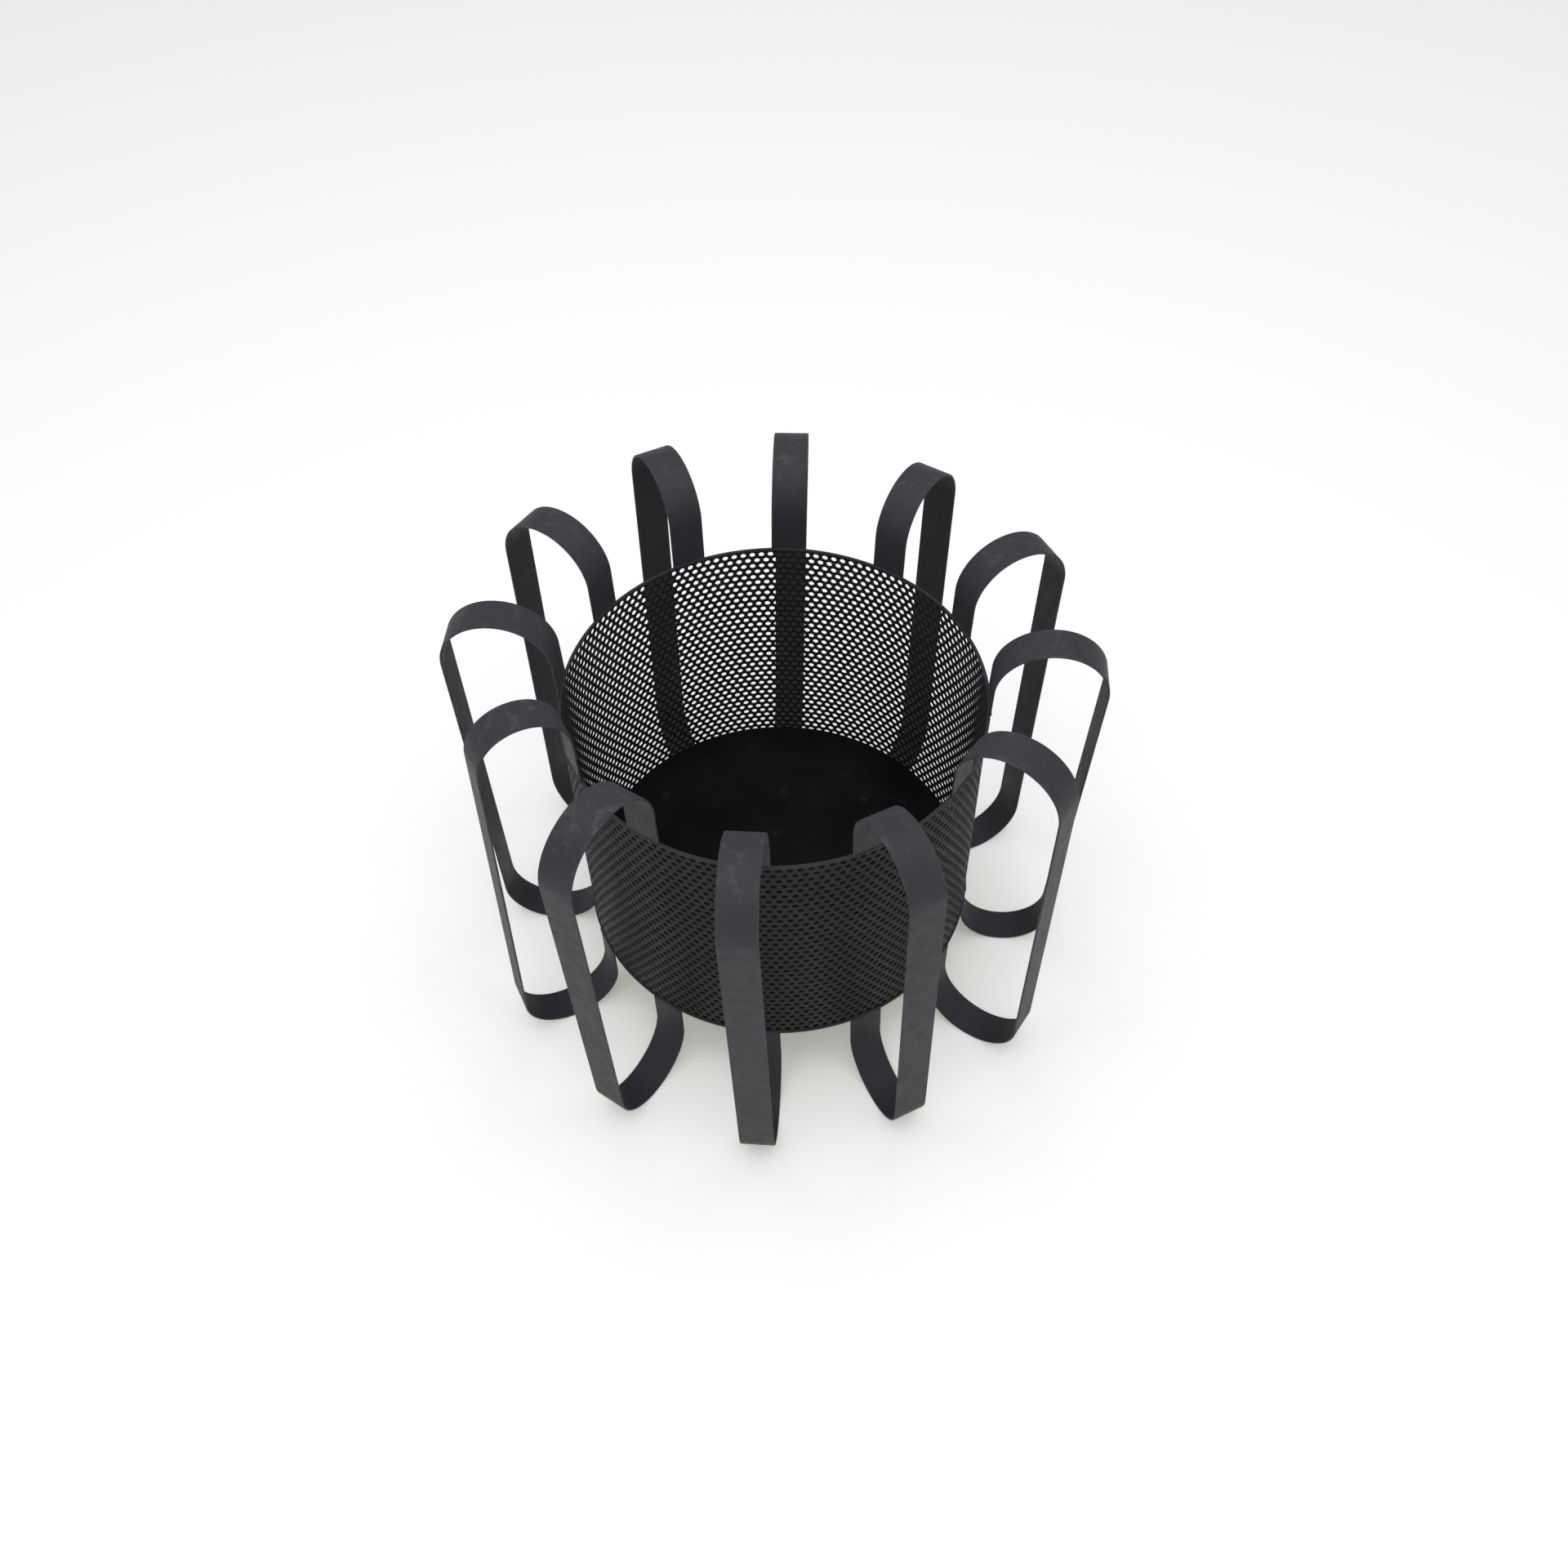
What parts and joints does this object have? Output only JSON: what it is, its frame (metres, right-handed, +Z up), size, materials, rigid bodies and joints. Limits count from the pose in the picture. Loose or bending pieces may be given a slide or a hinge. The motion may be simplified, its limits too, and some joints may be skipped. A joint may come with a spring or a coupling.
{
  "type": "firewood log rack",
  "caption": "Round perforated steel firewood basket raised off the ground and ringed by tall flat-strip hoops that serve as legs, bumpers and handles.",
  "frame": {"origin": "on the ground, under the centre of the basket", "axes": "+Z up; +Y towards the hoop at the back, hoop_01; +X to the right"},
  "size_m": [0.6041, 0.6047, 0.46],
  "materials": {
    "perforated_sheet": "matte charcoal coating",
    "ring_steel": "matte charcoal coating",
    "floor_steel": "matte charcoal coating, scuffed by logs",
    "strap_steel": "matte charcoal coating, light scuffs on the crowns"
  },
  "bodies": {
    "root": {"basket_wall": "perforated_sheet", "rim_ring": "ring_steel", "hem_ring": "ring_steel", "floor_plate": "floor_steel", "hoop_01": "strap_steel", "hoop_02": "strap_steel", "hoop_03": "strap_steel", "hoop_04": "strap_steel", "hoop_05": "strap_steel", "hoop_06": "strap_steel", "hoop_07": "strap_steel", "hoop_08": "strap_steel", "hoop_09": "strap_steel", "hoop_10": "strap_steel", "hoop_11": "strap_steel", "hoop_12": "strap_steel"}
  },
  "joints": []
}
